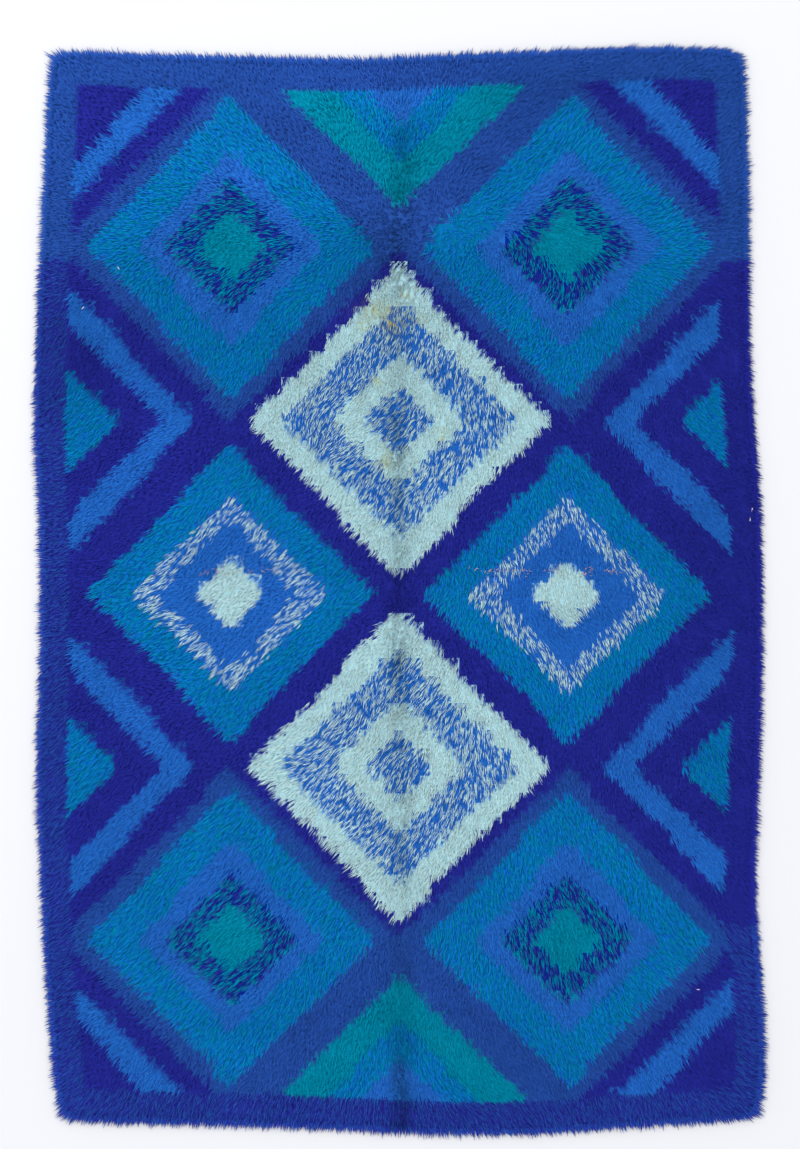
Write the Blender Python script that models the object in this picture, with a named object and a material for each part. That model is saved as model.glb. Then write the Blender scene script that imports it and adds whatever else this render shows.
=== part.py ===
"""A long-pile wool rug of the rya kind, lying flat with its pile up.

Metres, +Z up. The rug lies on the plane z = 0 with its length along Y. It is one piece of
knotted cloth, so it is one closed solid: a lumpy slab of pile with locks of yarn at its rim.
"""

import math
import random

import bmesh
import bpy
import numpy as np
from mathutils import Matrix, Vector, noise

# Pile
PILE_HEIGHT = 0.0280
RIM_HEIGHT = 0.0120
SHOULDER_WIDTH = 0.026
BROAD_LUMP_HEIGHT = 0.0040
BROAD_LUMP_SIZE = 0.34
SMALL_LUMP_HEIGHT = 0.0055
SMALL_LUMP_SIZE = 0.125

# Places where the pile parts: a crease down the length and one straight across it
LENGTH_CREASE_X = 0.004
LENGTH_CREASE_DEPTH = 0.0040
LENGTH_CREASE_WIDTH = 0.055
CROSS_CREASE_Y = 0.042
CROSS_CREASE_DEPTH = 0.0060
CROSS_CREASE_WIDTH = 0.045

# Outline over the tips of the locks, one table for each edge of the rug
LEFT_EDGE = (
    # y, x
    (-1.19, -0.752),
    (-0.95, -0.775),
    (-0.70, -0.791),
    (-0.38, -0.803),
    (-0.13, -0.796),
    (0.12, -0.796),
    (0.40, -0.808),
    (0.62, -0.801),
    (0.93, -0.785),
    (1.19, -0.775),
)
RIGHT_EDGE = (
    # y, x
    (-1.19, 0.801),
    (-1.02, 0.808),
    (-0.62, 0.789),
    (-0.30, 0.800),
    (0.14, 0.801),
    (0.50, 0.778),
    (0.93, 0.772),
    (1.19, 0.765),
)
BOTTOM_EDGE = (
    # x, y
    (-0.79, -1.170),
    (-0.30, -1.183),
    (0.28, -1.199),
    (0.55, -1.181),
    (0.79, -1.167),
)
TOP_EDGE = (
    # x, y
    (-0.79, 1.191),
    (-0.40, 1.179),
    (-0.08, 1.173),
    (0.25, 1.188),
    (0.58, 1.199),
    (0.79, 1.193),
)
CORNER_ROUNDING = 0.009
CORNER_SHARPNESS = 40

# Mesh of the slab, and how many locks the outer side of each cell at the rim has
CELLS_ACROSS = 30
CELLS_ALONG = 45
LOCKS_PER_CELL = 2

# Locks at the rim
LOCK_SHARE = 0.68
LOCK_REACH_SHORT = 0.012
LOCK_REACH_LONG = 0.020
LOCK_SWAY_DEG = 16.0
LOCK_MIDDLE_AT = 0.50
LOCK_MIDDLE_SIZE = 0.66
LOCK_SEED = 23

WOOL_COLOUR = (0.016, 0.068, 0.340)
WOOL_ROUGHNESS = 0.95


def clear_scene():
    for old in list(bpy.data.objects):
        bpy.data.objects.remove(old, do_unlink=True)


def make_collection(name):
    group = bpy.data.collections.new(name)
    bpy.context.scene.collection.children.link(group)
    return group


def dyed_wool():
    wool = bpy.data.materials.new("dyed_rya_wool")
    wool.use_nodes = True
    shader = wool.node_tree.nodes["Principled BSDF"]
    shader.inputs["Base Color"].default_value = (*WOOL_COLOUR, 1.0)
    shader.inputs["Roughness"].default_value = WOOL_ROUGHNESS
    shader.inputs["Metallic"].default_value = 0.0
    return wool


def edge_at(table, along):
    """Where an edge of the rug lies at a distance along it: a smooth line through the rows."""
    stations, offsets = np.array(table).T
    slopes = np.gradient(offsets, stations)
    row = int(np.clip(np.searchsorted(stations, along) - 1, 0, len(stations) - 2))
    span = stations[row + 1] - stations[row]
    t = min(max((along - stations[row]) / span, 0.0), 1.0)
    rise = (3 * t**2 - 2 * t**3) * (offsets[row + 1] - offsets[row])
    leaving = (t**3 - 2 * t**2 + t) * span * slopes[row]
    arriving = (t**3 - t**2) * span * slopes[row + 1]
    return offsets[row] + rise + leaving + arriving


def grid_line_at(fraction, cells, side):
    """Place of a grid line from 0 to 1, with narrow cells at the rim and wide locks on them."""
    step = fraction * cells
    if round(step * 2 * LOCKS_PER_CELL) % 2 == 1:
        step += (LOCK_SHARE - 0.5) / LOCKS_PER_CELL
    shoulder = SHOULDER_WIDTH / side
    if step <= 1.0:
        return step * shoulder
    if step >= cells - 1.0:
        return 1.0 - (cells - step) * shoulder
    return shoulder + (step - 1.0) / (cells - 2.0) * (1.0 - 2.0 * shoulder)


def lay_on_outline(u, v):
    """Plan point for the fractions u across and v along, inside the four edges."""
    middle_x = (edge_at(LEFT_EDGE, 0.0) + edge_at(RIGHT_EDGE, 0.0)) / 2
    bottom = edge_at(BOTTOM_EDGE, middle_x) + LOCK_REACH_LONG
    top = edge_at(TOP_EDGE, middle_x) - LOCK_REACH_LONG
    u = grid_line_at(u, CELLS_ACROSS, edge_at(RIGHT_EDGE, 0.0) - edge_at(LEFT_EDGE, 0.0))
    v = grid_line_at(v, CELLS_ALONG, top - bottom)
    y = bottom + v * (top - bottom)
    # The ends of the rug depend on x and its sides on y, so the point is settled in turns
    for _ in range(3):
        left = edge_at(LEFT_EDGE, y) + LOCK_REACH_LONG
        right = edge_at(RIGHT_EDGE, y) - LOCK_REACH_LONG
        x = left + u * (right - left)
        bottom = edge_at(BOTTOM_EDGE, x) + LOCK_REACH_LONG
        top = edge_at(TOP_EDGE, x) - LOCK_REACH_LONG
        y = bottom + v * (top - bottom)
    pull = CORNER_ROUNDING * (abs(2 * u - 1) * abs(2 * v - 1)) ** CORNER_SHARPNESS
    return x - math.copysign(pull, u - 0.5), y - math.copysign(pull, v - 0.5)


def crease(distance, depth, width):
    return depth * math.exp(-((distance / width) ** 2))


def pile_height(x, y):
    broad = noise.noise(Vector((x, y, 0.0)) / BROAD_LUMP_SIZE)
    small = noise.noise(Vector((x, y, 0.5)) / SMALL_LUMP_SIZE)
    height = PILE_HEIGHT + BROAD_LUMP_HEIGHT * (broad - 0.5) + SMALL_LUMP_HEIGHT * (small - 0.5)
    height -= crease(x - LENGTH_CREASE_X, LENGTH_CREASE_DEPTH, LENGTH_CREASE_WIDTH)
    height -= crease(y - CROSS_CREASE_Y, CROSS_CREASE_DEPTH, CROSS_CREASE_WIDTH)
    return height


def flat_grid(bm):
    """A grid of unit side, with points along its rim where locks and gaps begin."""
    bmesh.ops.create_grid(bm, x_segments=CELLS_ACROSS, y_segments=CELLS_ALONG, size=0.5)
    rim = [edge for edge in bm.edges if edge.is_boundary]
    bmesh.ops.bisect_edges(bm, edges=rim, cuts=2 * LOCKS_PER_CELL - 1)


def is_wall(face):
    return abs(face.normal.z) < 0.5


def is_lock_wall(face):
    """True for every second wall around the rim, read off the wall's place on the unit grid."""
    middle = face.calc_center_median()
    on_long_side = abs(face.normal.x) > 0.5
    fraction = middle.y if on_long_side else middle.x
    cells = CELLS_ALONG if on_long_side else CELLS_ACROSS
    return int((fraction + 0.5) * cells * 2 * LOCKS_PER_CELL) % 2 == 0


def place_on_grid(face):
    return [round(value, 4) for value in face.calc_center_median()]


def thicken(bm):
    """Turns the flat grid into a slab with walls, still of unit side."""
    raised = bmesh.ops.extrude_face_region(bm, geom=bm.faces[:], use_keep_orig=True)
    for item in raised["geom"]:
        if isinstance(item, bmesh.types.BMVert):
            item.co.z = RIM_HEIGHT
    bmesh.ops.recalc_face_normals(bm, faces=bm.faces)


def shape_pile(bm):
    """Lays the slab on the rug's outline and gives its top the lumps and creases of the pile."""
    rim = {vert for face in bm.faces if is_wall(face) for vert in face.verts}
    for vert in bm.verts:
        vert.co.x, vert.co.y = lay_on_outline(vert.co.x + 0.5, vert.co.y + 0.5)
        if vert.co.z > 0.0 and vert not in rim:
            vert.co.z = pile_height(vert.co.x, vert.co.y)
    bm.normal_update()


def draw_out(bm, face, reach, size):
    """Extrudes one end of a lock outward and makes it smaller, with its underside kept level."""
    end = bmesh.ops.extrude_discrete_faces(bm, faces=[face])["faces"][0]
    root = end.calc_center_median() * Vector((1.0, 1.0, 0.0))
    for vert in end.verts:
        vert.co = root + (vert.co - root) * size + reach
    return end


def grow_lock(bm, wall, sway):
    """Draws a wall out into a pointed lock of wool that lies flat on the floor."""
    turn = math.radians(sway.uniform(-LOCK_SWAY_DEG, LOCK_SWAY_DEG))
    length = sway.uniform(LOCK_REACH_SHORT, LOCK_REACH_LONG)
    reach = Matrix.Rotation(turn, 3, "Z") @ wall.normal * length
    middle = draw_out(bm, wall, reach * LOCK_MIDDLE_AT, LOCK_MIDDLE_SIZE)
    tip = draw_out(bm, middle, reach * (1.0 - LOCK_MIDDLE_AT), LOCK_MIDDLE_SIZE)
    point = tip.calc_center_median() * Vector((1.0, 1.0, 0.0))
    bmesh.ops.pointmerge(bm, verts=tip.verts, merge_co=point)


def stand_on_origin(bm):
    """Puts the middle of the rug's outline over the origin, with its underside at z = 0."""
    points = np.array([vert.co for vert in bm.verts])
    middle = (points.min(axis=0) + points.max(axis=0)) / 2
    bmesh.ops.translate(bm, verts=bm.verts, vec=(-middle[0], -middle[1], 0.0))


def make_rug(group):
    bm = bmesh.new()
    flat_grid(bm)
    thicken(bm)
    lock_walls = [face for face in bm.faces if is_wall(face) and is_lock_wall(face)]
    lock_walls.sort(key=place_on_grid)
    shape_pile(bm)
    sway = random.Random(LOCK_SEED)
    for wall in lock_walls:
        grow_lock(bm, wall, sway)
    stand_on_origin(bm)
    mesh = bpy.data.meshes.new("rya_rug")
    bm.to_mesh(mesh)
    bm.free()
    mesh.shade_smooth()
    mesh.set_sharp_from_angle(angle=math.radians(40.0))
    mesh.materials.append(dyed_wool())
    group.objects.link(bpy.data.objects.new("rya_rug", mesh))


clear_scene()
make_rug(make_collection("wool_rug"))
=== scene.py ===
"""A long-pile knotted wool rug of the rya kind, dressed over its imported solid."""

import math

import bpy
import numpy as np
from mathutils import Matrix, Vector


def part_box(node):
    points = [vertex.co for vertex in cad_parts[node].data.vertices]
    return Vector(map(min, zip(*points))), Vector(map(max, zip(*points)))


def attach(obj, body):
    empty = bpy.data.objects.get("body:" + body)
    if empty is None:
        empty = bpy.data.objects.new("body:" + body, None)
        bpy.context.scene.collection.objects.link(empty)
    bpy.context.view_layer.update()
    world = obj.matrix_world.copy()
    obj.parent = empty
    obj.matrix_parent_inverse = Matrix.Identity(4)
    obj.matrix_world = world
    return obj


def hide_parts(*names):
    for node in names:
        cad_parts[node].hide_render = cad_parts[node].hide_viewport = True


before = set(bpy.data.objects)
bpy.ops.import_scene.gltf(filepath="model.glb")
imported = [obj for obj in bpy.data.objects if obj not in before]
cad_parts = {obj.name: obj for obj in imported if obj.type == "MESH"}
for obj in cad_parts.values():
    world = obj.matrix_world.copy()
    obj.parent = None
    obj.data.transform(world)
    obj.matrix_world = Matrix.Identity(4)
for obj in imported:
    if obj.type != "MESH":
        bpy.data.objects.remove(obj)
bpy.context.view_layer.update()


# The camera hangs over the middle of the rug and looks straight down, with the rug's length
# up the picture. One pixel of the picture is 2.18 mm at the height of the pile.
MM = 0.001
PIXEL = 2.18 * MM
PICTURE_PIXELS_TALL = 1149
CAMERA_PIXELS_TOWARD_HEAD = 16.5
LENS_MM = 85.0
SENSOR_MM = 36.0
PILE_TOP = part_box("rya_rug")[1].z

camera_data = bpy.data.cameras.new("overhead_camera")
camera_data.lens = LENS_MM
camera_data.sensor_width = SENSOR_MM
camera = bpy.data.objects.new("overhead_camera", camera_data)
camera.location = (
    0.0,
    CAMERA_PIXELS_TOWARD_HEAD * PIXEL,
    PILE_TOP + PICTURE_PIXELS_TALL * PIXEL * LENS_MM / SENSOR_MM,
)
bpy.context.scene.collection.objects.link(camera)
bpy.context.scene.camera = camera


# The stage is a plain white floor under soft, even studio light: a bright room, with one wide
# lamp from the head end that gives the pile its lit and shaded sides.
FLOOR_SIDE = 80.0
FLOOR_COLOUR = "#b2b3b7"
FLOOR_ROUGHNESS = 0.9
FLOOR_SPECULAR = 0.1
ROOM_STRENGTH = 1.77
LAMP_SIDE = 5.2
LAMP_POWER = 345.0
LAMP_PLACE = (-3.5, 4.1, 5.5)


def linear(hex_colour):
    """Linear RGB of an sRGB hex colour."""
    parts = [int(hex_colour[start : start + 2], 16) / 255 for start in (1, 3, 5)]
    return tuple(((p + 0.055) / 1.055) ** 2.4 if p > 0.04045 else p / 12.92 for p in parts)


def add_node(tree, kind, settings=None, links=None):
    """Adds a node; settings are its properties or socket values, links its inputs' sources."""
    node = tree.nodes.new(kind)
    for name, value in (settings or {}).items():
        if isinstance(name, str) and hasattr(node, name):
            setattr(node, name, value)
        else:
            node.inputs[name].default_value = value
    for name, source in (links or {}).items():
        tree.links.new(source, node.inputs[name])
    return node


def new_material(name):
    material = bpy.data.materials.new(name)
    material.use_nodes = True
    material.node_tree.nodes.clear()
    return material


def finish_material(material, shader):
    add_node(material.node_tree, "ShaderNodeOutputMaterial", links={"Surface": shader.outputs[0]})
    return material


# White matt paint, even all over, so that only the rug's soft shadow shows on it
floor_paint = new_material("white_painted_floor")
floor_shader = add_node(
    floor_paint.node_tree,
    "ShaderNodeBsdfPrincipled",
    {
        "Base Color": (*linear(FLOOR_COLOUR), 1.0),
        "Roughness": FLOOR_ROUGHNESS,
        "Specular IOR Level": FLOOR_SPECULAR,
    },
)
finish_material(floor_paint, floor_shader)

bpy.ops.mesh.primitive_plane_add(size=FLOOR_SIDE)
floor = bpy.context.object
floor.name = "studio_floor"
floor.data.materials.append(floor_paint)

room = bpy.data.worlds.new("bright_room")
room.use_nodes = True
room.node_tree.nodes["Background"].inputs["Color"].default_value = (1.0, 1.0, 1.0, 1.0)
room.node_tree.nodes["Background"].inputs["Strength"].default_value = ROOM_STRENGTH
bpy.context.scene.world = room

lamp_data = bpy.data.lights.new("soft_lamp", "AREA")
lamp_data.size = LAMP_SIDE
lamp_data.energy = LAMP_POWER
lamp = bpy.data.objects.new("soft_lamp", lamp_data)
lamp.location = LAMP_PLACE
aim = -np.array(LAMP_PLACE)
lamp.rotation_euler = (
    math.acos(-aim[2] / np.linalg.norm(aim)),
    0.0,
    math.atan2(aim[1], aim[0]) - math.pi / 2,
)
bpy.context.scene.collection.objects.link(lamp)
bpy.context.scene.view_settings.view_transform = "Standard"


# The ground is a plain weave of undyed wool on a strong warp, woven to the rug's uneven
# outline. The pile is knotted into it row by row, so its top is a bed of packed yarn roots
# in the colours of the pile, darkened with painted shade, and its underside shows the weave
# with the backs of the knots.
WEAVE_THICKNESS = 3.0 * MM
ROOT_BED_HEIGHT = 5.5 * MM
ROOT_BED_LUMP = 1.6 * MM
ROOT_BED_LUMP_SIZE = 22 * MM
GROUND_CELL = 20 * MM
GROUND_INSET = 1.5 * MM
EDGE_BEVEL = 14 * MM
OUTLINE_SETTLING_TURNS = 4


def rim_of(slab):
    """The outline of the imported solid's own ground, as points round the top of its wall."""
    points = np.array([vert.co for vert in slab.data.vertices])
    levels, counts = np.unique(np.round(points[points[:, 2] > MM, 2], 4), return_counts=True)
    wall_top = levels[counts.argmax()]
    ring = points[abs(points[:, 2] - wall_top) < 0.1 * MM, :2]
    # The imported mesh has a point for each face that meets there, and one of them is enough
    ring = np.unique(np.round(ring, 5), axis=0)
    return ring[np.argsort(np.arctan2(ring[:, 1], ring[:, 0]))]


rim = rim_of(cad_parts["rya_rug"])
HALF_WIDTH, HALF_LENGTH = abs(rim).max(axis=0)
run_of_rim = np.roll(rim, -1, axis=0) - np.roll(rim, 1, axis=0)
on_long_side = abs(run_of_rim[:, 1]) > abs(run_of_rim[:, 0])


def side_line(across, sign):
    """One side of the outline, as places along it and how far out it lies at each."""
    out, along = (rim[:, 0], rim[:, 1]) if across else (rim[:, 1], rim[:, 0])
    on_side = (on_long_side == across) & (out * sign > 0)
    order = np.argsort(along[on_side])
    return along[on_side][order], out[on_side][order]


LEFT = side_line(True, -1)
RIGHT = side_line(True, 1)
FOOT = side_line(False, -1)
HEAD = side_line(False, 1)


def margins(x, y):
    """Distances from points to the rug's left, right, foot and head edges, inside positive."""
    return np.stack(
        [
            x - np.interp(y, *LEFT),
            np.interp(y, *RIGHT) - x,
            y - np.interp(x, *FOOT),
            np.interp(x, *HEAD) - y,
        ]
    )


def on_rug(u, v):
    """Plan points for fractions u across and v along the rug."""
    x, y = (2 * u - 1) * HALF_WIDTH, (2 * v - 1) * HALF_LENGTH
    # The sides depend on y and the ends on x, so the points are settled in turns
    for _ in range(OUTLINE_SETTLING_TURNS):
        left, right = np.interp(y, *LEFT), np.interp(y, *RIGHT)
        foot, head = np.interp(x, *FOOT), np.interp(x, *HEAD)
        x, y = left + u * (right - left), foot + v * (head - foot)
    return x, y


def drift(x, y, size, seed):
    """A slow random drift from -1 to 1 over the rug, with swells about this size across."""
    count = int(4 * HALF_LENGTH / size) + 4
    lattice = np.random.default_rng(seed).uniform(-1, 1, (count + 2, count + 2))
    gx, gy = x / size + count / 2, y / size + count / 2
    ix, iy = np.floor(gx).astype(int), np.floor(gy).astype(int)
    fx, fy = gx - ix, gy - iy
    fx, fy = fx * fx * (3 - 2 * fx), fy * fy * (3 - 2 * fy)
    low = lattice[ix, iy] * (1 - fx) + lattice[ix + 1, iy] * fx
    high = lattice[ix, iy + 1] * (1 - fx) + lattice[ix + 1, iy + 1] * fx
    return low * (1 - fy) + high * fy


# The chart is a plain lattice of nested stepped diamonds inside a narrow border. Each zone is
# knotted with one yarn, or with two yarns mixed strand by strand or knot by knot.
DIAMOND_HALF_WIDTH = 365 * MM
DIAMOND_HALF_LENGTH = 377 * MM
CHART_STEP = 14 * MM
BORDER_WIDTH = 62 * MM
END_BORDER_WIDTH = 70 * MM
BORDER_TURN = 30 * MM

YARNS = {
    # yarn: its dye, as the lit pile shows it
    "violet": "#29309e",
    "royal": "#2a57ae",
    "azure": "#2974cf",
    "sky": "#1477e2",
    "teal": "#0093b2",
    "aqua": "#c0f1fd",
}
YARN_NAMES = list(YARNS)
ZONES = {
    # zone: first yarn, second yarn
    "violet": ("violet", "violet"),
    "royal": ("royal", "royal"),
    "azure": ("azure", "azure"),
    "teal": ("teal", "teal"),
    "aqua": ("aqua", "aqua"),
    "turquoise": ("sky", "teal"),
    "frost": ("aqua", "azure"),
    "dusk": ("violet", "teal"),
    "indigo": ("violet", "royal"),
}
ZONE_NAMES = list(ZONES)
ALL = 9.0
RINGS = {
    # diamond: rings from the outside in, as outer limit (1 at the diamond's outline) and zone
    "middle pair": (
        (ALL, "violet"),
        (0.86, "turquoise"),
        (0.58, "frost"),
        (0.42, "azure"),
        (0.20, "aqua"),
    ),
    "end pair": (
        (ALL, "royal"),
        (0.86, "turquoise"),
        (0.56, "azure"),
        (0.40, "dusk"),
        (0.20, "teal"),
    ),
    "pale": ((ALL, "violet"), (0.90, "aqua"), (0.70, "frost"), (0.40, "aqua"), (0.20, "frost")),
    "side half": ((ALL, "violet"), (0.80, "azure"), (0.60, "violet"), (0.32, "turquoise")),
    "corner": ((ALL, "violet"), (0.80, "azure"), (0.60, "violet")),
    "end half": ((ALL, "royal"), (0.80, "teal"), (0.52, "turquoise"), (0.30, "azure")),
}


def nearest_diamond(x, y, shift_x, shift_y):
    """Distance into the nearest diamond of a lattice: 0 at its middle, 1 at its outline."""
    across = (x - shift_x + DIAMOND_HALF_WIDTH) % (2 * DIAMOND_HALF_WIDTH) - DIAMOND_HALF_WIDTH
    along = (y - shift_y + DIAMOND_HALF_LENGTH) % (2 * DIAMOND_HALF_LENGTH) - DIAMOND_HALF_LENGTH
    return abs(across) / DIAMOND_HALF_WIDTH + abs(along) / DIAMOND_HALF_LENGTH


def chart(x, y):
    """Zone number at each point."""
    step_x = (np.floor(x / CHART_STEP) + 0.5) * CHART_STEP
    step_y = (np.floor(y / CHART_STEP) + 0.5) * CHART_STEP
    in_pair = nearest_diamond(step_x, step_y, DIAMOND_HALF_WIDTH, 0.0)
    in_column = nearest_diamond(step_x, step_y, 0.0, DIAMOND_HALF_LENGTH)
    paired = in_pair <= in_column
    depth = np.where(paired, in_pair, in_column)
    near_middle = abs(step_y) < DIAMOND_HALF_LENGTH
    at_side = abs(step_x) > DIAMOND_HALF_WIDTH
    at_end = abs(step_y) > 2 * DIAMOND_HALF_LENGTH
    kinds = {
        "middle pair": paired & near_middle,
        "end pair": paired & ~near_middle,
        "pale": ~paired & ~at_side & ~at_end,
        "side half": ~paired & at_side & ~at_end,
        "corner": ~paired & at_side & at_end,
        "end half": ~paired & ~at_side & at_end,
    }
    zone = np.zeros(x.shape, int)
    for kind, inside in kinds.items():
        for limit, name in RINGS[kind]:
            zone[inside & (depth < limit)] = ZONE_NAMES.index(name)
    left, right, foot, head = margins(x, y)
    at_sides = np.minimum(left, right) < BORDER_WIDTH
    border = at_sides | (np.minimum(foot, head) < END_BORDER_WIDTH)
    turn = 2 * DIAMOND_HALF_LENGTH - BORDER_TURN
    zone[border & (left < right)] = ZONE_NAMES.index("indigo")
    zone[border & (left > right)] = ZONE_NAMES.index("violet")
    zone[border & (y < -turn)] = ZONE_NAMES.index("indigo")
    zone[border & (y > turn)] = ZONE_NAMES.index("royal")
    return zone


def yarns_in(zone):
    """Numbers of the first and the second yarn in each knot of these zones."""
    pairs = np.array([[YARN_NAMES.index(yarn) for yarn in ZONES[name]] for name in ZONE_NAMES])
    return pairs[zone]


# The ground's mesh is a grid over the outline, with the bed of roots raised inside its bevel
columns = int(round(2 * HALF_WIDTH / GROUND_CELL))
rows = int(round(2 * HALF_LENGTH / GROUND_CELL))
grid_u, grid_v = np.meshgrid(np.linspace(0, 1, columns + 1), np.linspace(0, 1, rows + 1))
ground_x, ground_y = on_rug(grid_u.ravel(), grid_v.ravel())
ground_x *= 1 - GROUND_INSET / HALF_WIDTH
ground_y *= 1 - GROUND_INSET / HALF_LENGTH
ground_margin = margins(ground_x, ground_y).min(axis=0)
bed = ROOT_BED_HEIGHT + ROOT_BED_LUMP * drift(ground_x, ground_y, ROOT_BED_LUMP_SIZE, 5)
bed *= np.clip(ground_margin / EDGE_BEVEL, 0, 1) ** 0.5
top_points = np.stack([ground_x, ground_y, WEAVE_THICKNESS + bed], axis=1)
under_points = top_points * (1, 1, 0)


def grid_faces(first, flip):
    """Four-sided faces of the ground's grid, for points numbered from first."""
    corner = np.arange(rows)[:, None] * (columns + 1) + np.arange(columns)[None, :] + first
    corner = corner.ravel()
    ring = [corner, corner + 1, corner + columns + 2, corner + columns + 1]
    return np.stack(ring[::-1] if flip else ring, axis=1)


def rim_faces(count):
    """Faces between the rims of the top and the underside, which have this many points each."""
    index = np.arange(count).reshape(rows + 1, columns + 1)
    loop = np.concatenate([index[0, :-1], index[:-1, -1], index[-1, :0:-1], index[:0:-1, 0]])
    after = np.roll(loop, -1)
    return np.stack([loop + count, after + count, after, loop], axis=1)


def mesh_from(name, points, faces):
    """A mesh from arrays of points and faces that all have as many corners."""
    starts = np.arange(0, faces.size, faces.shape[1], dtype=np.int32)
    mesh = bpy.data.meshes.new(name)
    mesh.vertices.add(len(points))
    mesh.vertices.foreach_set("co", points.astype(np.float32).ravel())
    mesh.loops.add(faces.size)
    mesh.loops.foreach_set("vertex_index", faces.astype(np.int32).ravel())
    mesh.polygons.add(len(faces))
    mesh.polygons.foreach_set("loop_start", starts)
    mesh.update(calc_edges=True)
    mesh.shade_smooth()
    return mesh


def add_piece(name, mesh, material):
    """Puts a mesh in the scene as a piece of the rug."""
    piece = bpy.data.objects.new(name, mesh)
    bpy.context.scene.collection.objects.link(piece)
    mesh.materials.append(material)
    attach(piece, "root")
    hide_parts("rya_rug")
    return piece


def set_values(mesh, name, values, kind="FLOAT", domain="POINT"):
    """Stores a value or a colour for each point or face, for the mesh's material to read."""
    field = "color" if kind == "FLOAT_COLOR" else "value"
    stored = mesh.attributes.new(name, kind, domain)
    stored.data.foreach_set(field, values.astype(np.float32).ravel())


# Undyed wool weave, matt and slightly hairy: a tan ground with weft ribs. On the underside it
# takes some colour from the backs of the knots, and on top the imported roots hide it.
WEFT_PITCH = 5 * MM
WAVES_TO_THE_METRE = 20 / (2 * math.pi)
RIB_HEIGHT = 1.0 * MM
RIB_STRENGTH = 0.6
RIB_WAVER = 1.5
FUZZ_SIZE = 6 * MM
ROOT_PAINTED_SHADE = 0.55
UNDERSIDE_DYE_SHARE = 0.35
UNDYED = "#a8846a"
UNDYED_SHADED = "#8a6a54"
WEAVE_ROUGHNESS = 0.95
WEAVE_SPECULAR = 0.05

weave = new_material("undyed_wool_weave")
tree = weave.node_tree
place = add_node(tree, "ShaderNodeTexCoord").outputs["Object"]
yarn_roots = add_node(tree, "ShaderNodeAttribute", {"attribute_name": "painted_shade_root_colour"})
showing = add_node(tree, "ShaderNodeAttribute", {"attribute_name": "root_share"})
rib = add_node(
    tree,
    "ShaderNodeTexWave",
    {
        "bands_direction": "Y",
        "Scale": 1 / (WEFT_PITCH * WAVES_TO_THE_METRE),
        "Distortion": RIB_WAVER,
        "Detail": 2.0,
    },
    {"Vector": place},
)
fuzz = add_node(
    tree,
    "ShaderNodeTexNoise",
    {"Scale": 1 / FUZZ_SIZE, "Detail": 3.0},
    {"Vector": place},
)
undyed = add_node(
    tree,
    "ShaderNodeMix",
    {"data_type": "RGBA", 6: (*linear(UNDYED), 1), 7: (*linear(UNDYED_SHADED), 1)},
    {0: fuzz.outputs["Fac"]},
)
base = add_node(
    tree,
    "ShaderNodeMix",
    {"data_type": "RGBA"},
    {0: showing.outputs["Fac"], 6: undyed.outputs[2], 7: yarn_roots.outputs["Color"]},
)
bump = add_node(
    tree,
    "ShaderNodeBump",
    {"Strength": RIB_STRENGTH, "Distance": RIB_HEIGHT},
    {"Height": rib.outputs["Fac"]},
)
shader = add_node(
    tree,
    "ShaderNodeBsdfPrincipled",
    {"Roughness": WEAVE_ROUGHNESS, "Specular IOR Level": WEAVE_SPECULAR},
    {"Base Color": base.outputs[2], "Normal": bump.outputs[0]},
)
finish_material(weave, shader)

ground_points = np.concatenate([top_points, under_points])
ground_faces = np.concatenate(
    [
        grid_faces(0, False),
        grid_faces(len(top_points), True),
        rim_faces(len(top_points)),
    ]
)
ground_mesh = mesh_from("knotted_ground", ground_points, ground_faces)
middle_x = ground_points[ground_faces, 0].mean(axis=1)
middle_y = ground_points[ground_faces, 1].mean(axis=1)
face_zone = chart(middle_x, middle_y)
dyes = np.array([(*linear(YARNS[name]), 1.0) for name in YARN_NAMES])
# Painted shade: the roots take the darker dye of their zone's yarns, darkened further to stand
# for the shade deep in the pile
root_colours = dyes[yarns_in(face_zone)].min(axis=1) * (ROOT_PAINTED_SHADE, ROOT_PAINTED_SHADE, ROOT_PAINTED_SHADE, 1.0)
set_values(ground_mesh, "painted_shade_root_colour", root_colours, "FLOAT_COLOR", "FACE")
face_number = np.arange(len(ground_faces))
on_underside = (face_number >= rows * columns) & (face_number < 2 * rows * columns)
root_share = np.where(on_underside, UNDERSIDE_DYE_SHARE, 1.0)
set_values(ground_mesh, "root_share", root_share, domain="FACE")
ground = add_piece("knotted_ground", ground_mesh, weave)


# The pile: knots of long two-ply wool, three strands in each, brushed by use into drifting lies.
# It is pressed and darkened with painted shade along the crease down the length, and worn and
# darkened with painted shade along the fold across the middle. The strands are drawn coarser
# and fewer than the real yarn, so that they show.
KNOT_PITCH = 7.0 * MM
KNOT_UNEVENNESS = 0.45
STRANDS_IN_KNOT = 3
STRAND_LENGTH = 20 * MM
STRAND_WIDTH = 2.9 * MM
STRAND_STRAYING = 0.8 * MM
KNOT_SPREAD = 1.8 * MM
PILE_HEIGHT = 21 * MM
ROOT_HEIGHT = 5.0 * MM
rng = np.random.default_rng(11)


def scattered_knots():
    """Knot places in rows with a little unevenness, kept inside the outline, and their parity."""
    across = np.arange(-HALF_WIDTH, HALF_WIDTH, KNOT_PITCH)
    along = np.arange(-HALF_LENGTH, HALF_LENGTH, KNOT_PITCH)
    x, y = (part.ravel() for part in np.meshgrid(across, along))
    odd = np.add.outer(np.arange(len(along)), np.arange(len(across))).ravel() % 2
    x = x + rng.uniform(-KNOT_UNEVENNESS, KNOT_UNEVENNESS, x.shape) * KNOT_PITCH
    y = y + rng.uniform(-KNOT_UNEVENNESS, KNOT_UNEVENNESS, y.shape) * KNOT_PITCH
    keep = margins(x, y).min(axis=0) > MM
    return x[keep], y[keep], odd[keep]


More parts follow.
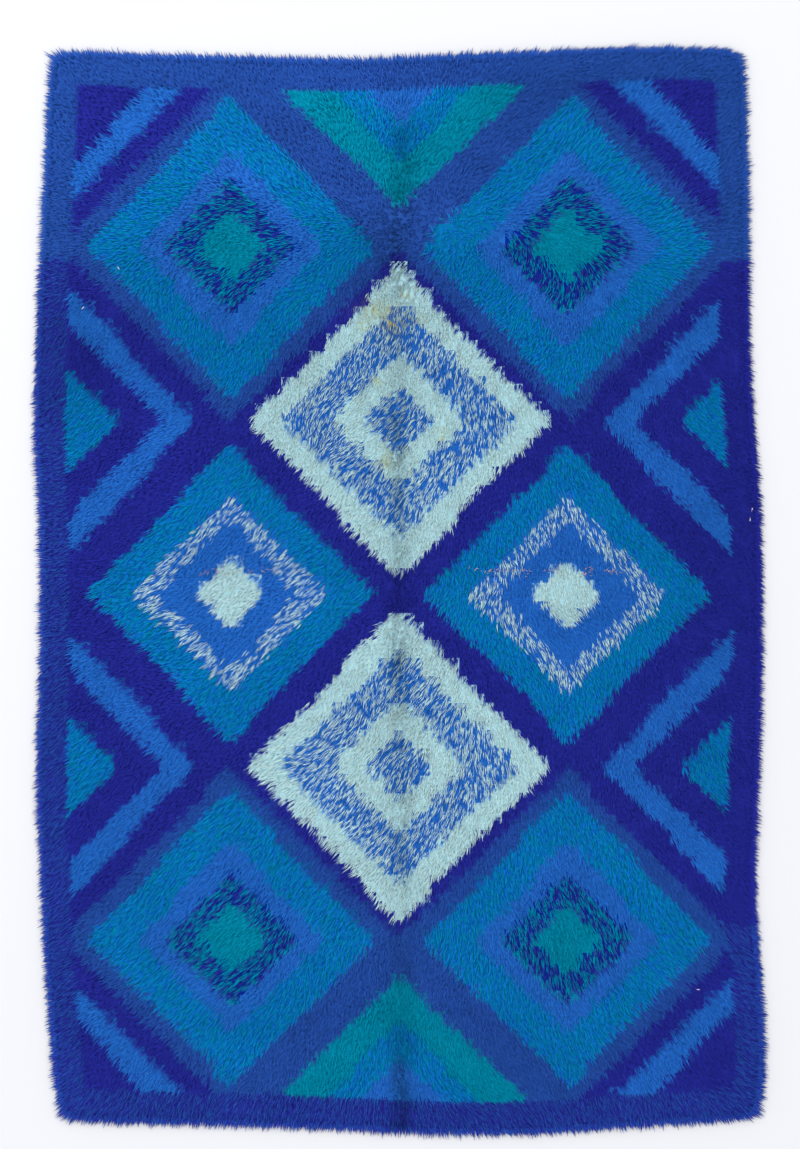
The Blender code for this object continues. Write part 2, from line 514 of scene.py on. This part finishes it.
# The pile lies outward and toward the foot, straight down at the foot itself and the other way
# at the head. It parts between the two, where its lie is least plain and it is most tousled.
RIM_SPLAY = 20 * MM
RIM_OUTWARD_SHARE = 0.60
LEAN_OUTWARD = 1.05
LEAN_LEFT = 0.33
LEAN_FOOTWARD = 0.75
LEAN_HEADWARD = 0.50
PARTING_Y = 0.62
PARTING_LENGTH = 0.30
STRAIGHT_FROM_Y = -0.50
STRAIGHTENING_LENGTH = 0.40
LIE_SWELLS = (
    # turn to either side in radians, size, seed
    (0.34, 0.34, 41),
    (0.34, 0.15, 42),
    (0.22, 0.06, 43),
)
KNOT_TOUSLE = 0.13
PARTING_TOUSLE = 1.3
PARTING_PLAINNESS = 0.16
STRAND_TOUSLE = 0.12


def outward(x, y):
    """How near points are to the rim, from 0 to 1, and which way is out from there."""
    near = np.exp(-margins(x, y) / RIM_SPLAY)
    out = np.stack([near[1] - near[0], near[3] - near[2]], axis=1)
    out /= np.linalg.norm(out, axis=1, keepdims=True) + 1e-9
    return np.clip(near.max(axis=0), 0, 1), out


def lie(x, y):
    """The way in which the pile lies at each point, and how plainly."""
    at_head = np.clip((y - PARTING_Y) / PARTING_LENGTH, 0, 1)
    at_foot = np.clip((STRAIGHT_FROM_Y - y) / STRAIGHTENING_LENGTH, 0, 1)
    toward_x = LEAN_OUTWARD * x / HALF_WIDTH - LEAN_LEFT * (1 - at_head) * (1 - at_foot)
    toward_y = -LEAN_FOOTWARD + (LEAN_FOOTWARD + LEAN_HEADWARD) * at_head
    turn = sum(amount * drift(x, y, size, seed) for amount, size, seed in LIE_SWELLS)
    return np.arctan2(toward_y, toward_x) + turn, np.hypot(toward_x, toward_y)


def join_ways(heading, out, out_share):
    """Headings turned outward by a share from 0 to 1."""
    way = np.stack([np.cos(heading), np.sin(heading)], axis=1)
    way = way * (1 - out_share[:, None]) + out * out_share[:, None]
    return np.arctan2(way[:, 1], way[:, 0])


# A strand's tone is 0 where it has its yarn's own dye, below where it is darker and above where
# it is lighter. Painted shade darkens it along the crease, along the fold and in broad shaded
# places, and it rises from the head to the foot.
CREASE_X = 4 * MM
CREASE_WANDER = 8 * MM
CREASE_WIDTH = 26 * MM
# Painted shade: the crease darkens the pile's tone along it
CREASE_PAINTED_SHADE = -5.5
CREASE_FLATTENING = 0.08
FOLD_Y = 42 * MM
FOLD_WANDER = 4 * MM
FOLD_WIDTH = 3.5 * MM
# Painted shade: the fold darkens the pile's tone along it, besides lowering and shortening it
FOLD_PAINTED_SHADE = -2.6
FOLD_LOWERING = 0.34
FOLD_SHORTENING = 0.45
TONE_AT_HEAD = -0.45
TONE_RISE_TO_FOOT = 1.1
SHADED_PLACES = (
    # x, y, half width, half length, tone: broad places where the pile lies away from the light
    (-0.050, 0.820, 0.110, 0.130, -1.7),
    (-0.045, 0.430, 0.060, 0.220, -1.1),
    (0.745, 0.230, 0.085, 0.420, -1.0),
    (0.690, -0.350, 0.070, 0.200, -0.8),
    (-0.700, 0.520, 0.060, 0.120, -0.8),
    (0.640, 0.120, 0.050, 0.060, -1.0),
    (-0.330, -0.930, 0.130, 0.060, -0.8),
    (0.360, 1.090, 0.200, 0.060, -0.7),
)
SHADED_PLACE_RAGGEDNESS = 0.05
KNOT_TONE = 0.35
STRAND_TONE = 0.40
TONE_SWELLS = (
    # tone to either side, size, seed
    (0.45, 0.08, 51),
    (0.45, 0.28, 52),
)


def in_crease(x, y):
    """How far the pile is pressed, and darkened by painted shade, at a point by the crease along
    the rug.
    """
    middle = CREASE_X + CREASE_WANDER * drift(x * 0, y, 0.22, 63)
    width = CREASE_WIDTH * (1 + 0.5 * drift(x * 0, y, 0.17, 61))
    depth = 0.6 + 0.4 * drift(x * 0, y, 0.28, 62)
    mottle = 1 + 0.6 * drift(2.2 * x, y, 0.075, 65)
    return depth * mottle * np.exp(-(((x - middle) / width) ** 2))


def fold_line(x):
    """Where the fold across the rug lies at each place across it."""
    return FOLD_Y + FOLD_WANDER * drift(x, x * 0, 0.12, 31)


def in_fold(x, y):
    """How far the fold across the rug wears the pile at a point, and paints shade on it, 0 to 1.
    """
    depth = 0.55 + 0.45 * drift(x, x * 0, 0.06, 64)
    return depth * np.exp(-(((y - fold_line(x)) / FOLD_WIDTH) ** 2))


def shading(x, y):
    """Tone that the broad shaded places take from the pile."""
    total = np.zeros(len(x))
    for at_x, at_y, half_x, half_y, tone in SHADED_PLACES:
        ragged = 1 + 0.5 * drift(x, y, SHADED_PLACE_RAGGEDNESS, 66)
        far = ((x - at_x) / half_x) ** 2 + ((y - at_y) / half_y) ** 2
        total += tone * ragged * np.exp(-far)
    return total


def tone_rising_to_foot(y):
    """Tone that rises along the rug: darkest at the head, lightest at the foot."""
    return TONE_RISE_TO_FOOT * np.clip(0.5 - y / (2 * HALF_LENGTH), 0, 1) + TONE_AT_HEAD


knot_x, knot_y, knot_odd = scattered_knots()
edge_share, out_way = outward(knot_x, knot_y)
knot_lie, plainness = lie(knot_x, knot_y)
tousled = KNOT_TOUSLE + PARTING_TOUSLE * np.exp(-((plainness / PARTING_PLAINNESS) ** 2))
knot_lie += rng.normal(0, 1, len(knot_x)) * tousled
knot_lie = join_ways(knot_lie, out_way, RIM_OUTWARD_SHARE * edge_share)
knot_zone = chart(knot_x, knot_y)
knot_tone = (
    KNOT_TONE * rng.normal(0, 1, len(knot_x))
    + sum(amount * drift(knot_x, knot_y, size, seed) for amount, size, seed in TONE_SWELLS)
    + tone_rising_to_foot(knot_y)
    + shading(knot_x, knot_y)
    + CREASE_PAINTED_SHADE * in_crease(knot_x, knot_y)
    + FOLD_PAINTED_SHADE * in_fold(knot_x, knot_y)
)

# A knot holds both yarns in the zones of near shades, and one or the other in the speckled
# zones. Now and then it has the wrong one, because the knots weren't counted strictly.
NEAR_SHADES = ("turquoise", "indigo")
MISCOUNTED_PALE = 0.16
MISCOUNTED_DARK = 0.16
knot_pair = yarns_in(knot_zone)
miscount = np.where(knot_odd == 1, MISCOUNTED_DARK, MISCOUNTED_PALE)
swapped = (knot_odd == 1) ^ (rng.random(len(knot_x)) < miscount)
one_yarn = np.where(swapped, knot_pair[:, 1], knot_pair[:, 0])
both = np.isin(knot_zone, [ZONE_NAMES.index(name) for name in NEAR_SHADES])
in_both = np.where(swapped[:, None], knot_pair[:, [0, 1, 0]], knot_pair[:, [1, 0, 1]])
knot_yarns = np.where(both[:, None], in_both, one_yarn[:, None])

index = np.repeat(np.arange(len(knot_x)), STRANDS_IN_KNOT)
count = len(index)
sideways = np.tile([-1.0, 0.0, 1.0], len(knot_x)) * KNOT_SPREAD
heading = knot_lie[index] + rng.normal(0, STRAND_TOUSLE, count)
pressed = in_crease(knot_x, knot_y)[index]
worn = in_fold(knot_x, knot_y)[index]
rim_share = edge_share[index]
height = PILE_HEIGHT * rng.uniform(0.76, 1.22, count) * (1 - 0.60 * rim_share**2)
shortened = 1 - FOLD_SHORTENING * worn - 0.2 * rim_share
body_strands = {
    "x": knot_x[index] - np.sin(heading) * sideways + rng.normal(0, STRAND_STRAYING, count),
    "y": knot_y[index] + np.cos(heading) * sideways + rng.normal(0, STRAND_STRAYING, count),
    "z": ROOT_HEIGHT * (1 - 0.5 * rim_share),
    "heading": heading,
    "length": STRAND_LENGTH * rng.uniform(0.7, 1.2, count) * shortened,
    "height": height * (1 - CREASE_FLATTENING * pressed - FOLD_LOWERING * worn),
    "width": STRAND_WIDTH * rng.uniform(0.8, 1.2, count),
    "tone": knot_tone[index] + STRAND_TONE * rng.normal(0, 1, count),
    "yarn": knot_yarns.ravel(),
}

# The last knots hang over the ground's edge: a dense row of ends, and beyond it a comb of longer
# slanting locks. The ends are longest at the corners, which keeps these square.
RIM_ROWS = (
    # pitch, shortest, longest, width, share straight out, highest tip
    (0.9 * MM, 14 * MM, 20 * MM, 3.0 * MM, 0.55, 9 * MM),
    (4.2 * MM, 22 * MM, 27 * MM, 5.0 * MM, 0.45, 6 * MM),
)
RIM_INSET = (0.5 * MM, 4.5 * MM)
RIM_ROOT_HEIGHT = (3.0 * MM, 7.0 * MM)
RIM_LOWEST_TIP = 2 * MM
CORNER_LENGTHENING = 0.40
# Painted light: the locks round the rim get a lighter tone, for the light they catch and let
# through at the edge
RIM_PAINTED_LIGHT = 0.8
rim_rng = np.random.default_rng(12)
loop = np.concatenate([rim, rim[:1]])
run = np.concatenate([[0], np.cumsum(np.linalg.norm(np.diff(loop, axis=0), axis=1))])


def rim_row(pitch, shortest, longest, width, straight, highest):
    """One row of strands round the rim, leaning between straight out and the pile's own lie."""
    count = int(run[-1] / pitch)
    places = (np.arange(count) + rim_rng.uniform(-0.35, 0.35, count)) * pitch
    x, y = np.interp(places, run, loop[:, 0]), np.interp(places, run, loop[:, 1])
    near = np.exp(-margins(x, y) / RIM_SPLAY)
    corner = near[:2].max(axis=0) * near[2:].max(axis=0)
    _, out_way = outward(x, y)
    inset = rim_rng.uniform(*RIM_INSET, count)
    x, y = x - out_way[:, 0] * inset, y - out_way[:, 1] * inset
    own_lie = lie(x, y)[0] + rim_rng.normal(0, 0.16, count)
    clump = 0.25 * drift(x, y, 13 * MM, 71)
    uneven = 1 + 0.16 * drift(x, y, 9 * MM, 72)
    lengthened = uneven * (1 + CORNER_LENGTHENING * corner)
    pair = yarns_in(chart(x, y))
    return {
        "x": x,
        "y": y,
        "z": rim_rng.uniform(*RIM_ROOT_HEIGHT, count),
        "heading": join_ways(own_lie, out_way, np.full(count, straight)) + clump,
        "length": rim_rng.uniform(shortest, longest, count) * lengthened,
        "height": rim_rng.uniform(RIM_LOWEST_TIP, highest, count),
        "width": width * rim_rng.uniform(0.8, 1.25, count),
        "tone": RIM_PAINTED_LIGHT + 0.5 * rim_rng.normal(0, 1, count) + tone_rising_to_foot(y) + shading(x, y),
        "yarn": pair[np.arange(count), rim_rng.integers(0, 2, count)],
    }


rim_strands = [rim_row(*row) for row in RIM_ROWS]
strands = {
    name: np.concatenate([values] + [row[name] for row in rim_strands])
    for name, values in body_strands.items()
}


STAINS = (
    # x, y, half width, half length, strength: where something was spilt on the pale pile
    (-0.042, 0.622, 0.040, 0.018, 0.75),
    (-0.012, 0.590, 0.022, 0.015, 0.85),
    (-0.078, 0.590, 0.012, 0.010, 0.70),
    (0.044, 0.604, 0.014, 0.008, 0.60),
    (0.016, 0.655, 0.010, 0.008, 0.90),
    (-0.048, 0.470, 0.010, 0.009, 0.75),
    (-0.026, 0.300, 0.011, 0.030, 0.50),
    (0.092, 0.350, 0.010, 0.014, 0.60),
)
STAIN_RAGGEDNESS = 12 * MM


def stained(x, y):
    """How strongly each point is stained, from 0 to 1, in ragged patches."""
    ragged = 0.75 + 0.45 * drift(x, y, STAIN_RAGGEDNESS, 81)
    total = np.zeros(len(x))
    for at_x, at_y, half_x, half_y, strength in STAINS:
        far = ((x - at_x) / half_x) ** 2 + ((y - at_y) / half_y) ** 2
        total = np.maximum(total, strength * np.exp(-far) * ragged)
    return np.clip(total, 0, 1)


LOWEST_TIP = 1.5 * MM
SIDES_OF_STRAND = np.array([(0, 1, 2), (0, 3, 1), (1, 3, 2), (2, 3, 0)])


def strand_mesh(name, chosen):
    """One mesh of many strands, each three-sided and drawn out from its root to a pointed tip."""
    count = len(chosen["x"])
    level = np.zeros(count)
    along = np.stack([np.cos(chosen["heading"]), np.sin(chosen["heading"]), level], axis=1)
    root = np.stack([chosen["x"], chosen["y"], chosen["z"]], axis=1)
    tip = root + along * chosen["length"][:, None]
    tip[:, 2] = np.maximum(chosen["height"], LOWEST_TIP)
    side = np.stack([-along[:, 1], along[:, 0], level], axis=1)
    lift = np.cross(tip - root, side)
    lift /= np.linalg.norm(lift, axis=1, keepdims=True)
    lift *= np.sign(lift[:, 2:3])
    half = chosen["width"][:, None] / 2
    points = []
    for degrees in (90, 210, 330):
        turn = math.radians(degrees)
        points.append(root + half * (math.cos(turn) * side + math.sin(turn) * lift))
    points.append(tip)
    points = np.stack(points, axis=1)
    faces = (SIDES_OF_STRAND[None] + 4 * np.arange(count)[:, None, None]).reshape(-1, 3)
    mesh = mesh_from(name, points.reshape(-1, 3), faces)
    set_values(mesh, "tone", np.repeat(chosen["tone"], 4))
    # Depth is 1 at a strand's root and 0 at its tip, and sets its painted shade
    set_values(mesh, "depth", np.tile([1.0, 1.0, 1.0, 0.0], count))
    set_values(mesh, "stain", np.repeat(stained(chosen["x"], chosen["y"]), 4))
    lay_out_strands(mesh, count)
    return mesh


def lay_out_strands(mesh, count):
    """Gives each strand a cell of its own on the map, root at the bottom and tip at the top."""
    side = math.ceil(math.sqrt(count))
    cell = np.arange(count)
    corner = np.stack([cell % side, cell // side], axis=1)
    spots = np.array(
        [
            [(0.1, 0.1), (0.9, 0.1), (0.5, 0.2)],
            [(0.1, 0.25), (0.25, 0.9), (0.36, 0.25)],
            [(0.36, 0.25), (0.5, 0.9), (0.62, 0.25)],
            [(0.62, 0.25), (0.75, 0.9), (0.9, 0.25)],
        ]
    )
    places = (corner[:, None, None] + spots[None]) / side
    layer = mesh.uv_layers.new(name="OFBake")
    layer.data.foreach_set("uv", places.astype(np.float32).ravel())


DARKEST_TONE = -8.0
LIGHTEST_TONE = 4.0
DARKEST_SHARE = 0.24
LIGHTEST_SHARE = 1.38
# Painted shade: each strand's colour is darkened toward its root, where the pile around it shades
# it
STRAND_ROOT_PAINTED_SHADE = (0.74, 0.74, 0.78, 1)
STAIN_COLOUR = "#b3ab48"
WOOL_ROUGHNESS = 0.95
WOOL_SPECULAR = 0.02


def dyed_wool(name, hex_colour):
    """Dyed two-ply wool: matt, soft, with painted shade among the roots, each strand a little off
    shade.
    """
    wool = new_material(name)
    tree = wool.node_tree
    dye = np.array(linear(hex_colour))
    darkest = (*(dye * DARKEST_SHARE), 1)
    lightest = (*np.minimum(dye * LIGHTEST_SHARE, 1), 1)
    depth = add_node(tree, "ShaderNodeAttribute", {"attribute_name": "depth"})
    tone = add_node(tree, "ShaderNodeAttribute", {"attribute_name": "tone"})
    stain = add_node(tree, "ShaderNodeAttribute", {"attribute_name": "stain"})
    shade = add_node(
        tree,
        "ShaderNodeMapRange",
        {"From Min": DARKEST_TONE, "From Max": LIGHTEST_TONE, "To Min": 0.0, "To Max": 1.0},
        {"Value": tone.outputs["Fac"]},
    )
    lit = add_node(
        tree,
        "ShaderNodeMix",
        {"data_type": "RGBA", 6: darkest, 7: lightest},
        {0: shade.outputs["Result"]},
    )
    painted_root_shade = add_node(
        tree,
        "ShaderNodeMix",
        {"data_type": "RGBA", "blend_type": "MULTIPLY", 7: STRAND_ROOT_PAINTED_SHADE},
        {0: depth.outputs["Fac"], 6: lit.outputs[2]},
    )
    colour = add_node(
        tree,
        "ShaderNodeMix",
        {"data_type": "RGBA", 7: (*linear(STAIN_COLOUR), 1)},
        {0: stain.outputs["Fac"], 6: painted_root_shade.outputs[2]},
    )
    shader = add_node(
        tree,
        "ShaderNodeBsdfPrincipled",
        {"Roughness": WOOL_ROUGHNESS, "Specular IOR Level": WOOL_SPECULAR},
        {"Base Color": colour.outputs[2]},
    )
    return finish_material(wool, shader)


STRANDS_IN_PIECE = 46000
for number, yarn in enumerate(YARN_NAMES):
    material = dyed_wool(f"{yarn}_dyed_rya_wool", YARNS[yarn])
    members = np.flatnonzero(strands["yarn"] == number)
    parts = math.ceil(len(members) / STRANDS_IN_PIECE)
    for part in range(parts):
        name = f"{yarn}_pile_{part + 1}"
        chosen = {key: values[members[part::parts]] for key, values in strands.items()}
        add_piece(name, strand_mesh(name, chosen), material)


# Where the pile is worn along the fold, ends of the undyed ground's own threads have worked up
# between the knots. They are short, thin, tan and slightly pink, and lie roughly along the fold.
WORN_PLACES = (
    # x from, x to, spread to either side of the fold, threads
    (-0.440, -0.395, 4.0 * MM, 16),
    (-0.395, -0.340, 2.0 * MM, 6),
    (-0.334, -0.276, 3.0 * MM, 14),
    (-0.276, -0.200, 1.5 * MM, 5),
    (0.150, 0.250, 2.0 * MM, 22),
    (0.259, 0.283, 5.0 * MM, 10),
    (0.312, 0.350, 2.5 * MM, 12),
    (0.384, 0.424, 4.0 * MM, 14),
    (0.438, 0.480, 2.0 * MM, 12),
)
THREAD_WIDTH = 2.0 * MM
THREAD_LENGTH = (4 * MM, 11 * MM)
THREAD_HEIGHT = (15 * MM, 21 * MM)
THREAD_TOUSLE = 0.7
THREAD_COLOUR = "#b9a39a"
LOOSE_TONE = 1.5
thread_rng = np.random.default_rng(13)


def loose_strands(x, y, length, height, heading, width):
    """Short strands that lie level near the top of the pile."""
    count = len(x)
    return {
        "x": x,
        "y": y,
        "z": height - MM,
        "heading": heading,
        "length": length,
        "height": height,
        "width": np.full(count, width),
        "tone": thread_rng.normal(0, LOOSE_TONE, count),
    }


thread_x = np.concatenate(
    [thread_rng.uniform(start, end, number) for start, end, _, number in WORN_PLACES]
)
spread = np.concatenate([np.full(number, wide) for _, _, wide, number in WORN_PLACES])
count = len(thread_x)
threads = loose_strands(
    thread_x,
    fold_line(thread_x) + thread_rng.normal(0, 1, count) * spread,
    thread_rng.uniform(*THREAD_LENGTH, count),
    thread_rng.uniform(*THREAD_HEIGHT, count),
    thread_rng.normal(0, THREAD_TOUSLE, count),
    THREAD_WIDTH,
)
thread_wool = dyed_wool("undyed_ground_wool", THREAD_COLOUR)
thread_mesh = strand_mesh("worn_ground_threads", threads)
add_piece("worn_ground_threads", thread_mesh, thread_wool)


# Specks of white lint are caught in the dark pile, near the right side and the upper corners.
# They are short hairs of loose wool, which lie on the tips of the pile.
LINT = (
    # x, y
    (0.770, 0.181),
    (0.765, 0.153),
    (0.654, -0.870),
    (0.750, 1.127),
    (-0.690, 0.620),
    (-0.612, 0.702),
)
LINT_LENGTH = 9 * MM
LINT_WIDTH = 3.2 * MM
LINT_HEIGHT = 24 * MM
LINT_HEIGHT_NEAR_RIM = 17 * MM
NEAR_RIM_X = 0.72
LINT_COLOUR = "#e9edf4"
lint_x, lint_y = np.array(LINT).T
count = len(LINT)
lint = loose_strands(
    lint_x,
    lint_y,
    np.full(count, LINT_LENGTH),
    np.where(abs(lint_x) > NEAR_RIM_X, LINT_HEIGHT_NEAR_RIM, LINT_HEIGHT),
    thread_rng.uniform(0, 6, count),
    LINT_WIDTH,
)
lint_wool = dyed_wool("white_lint_wool", LINT_COLOUR)
add_piece("caught_lint", strand_mesh("caught_lint", lint), lint_wool)
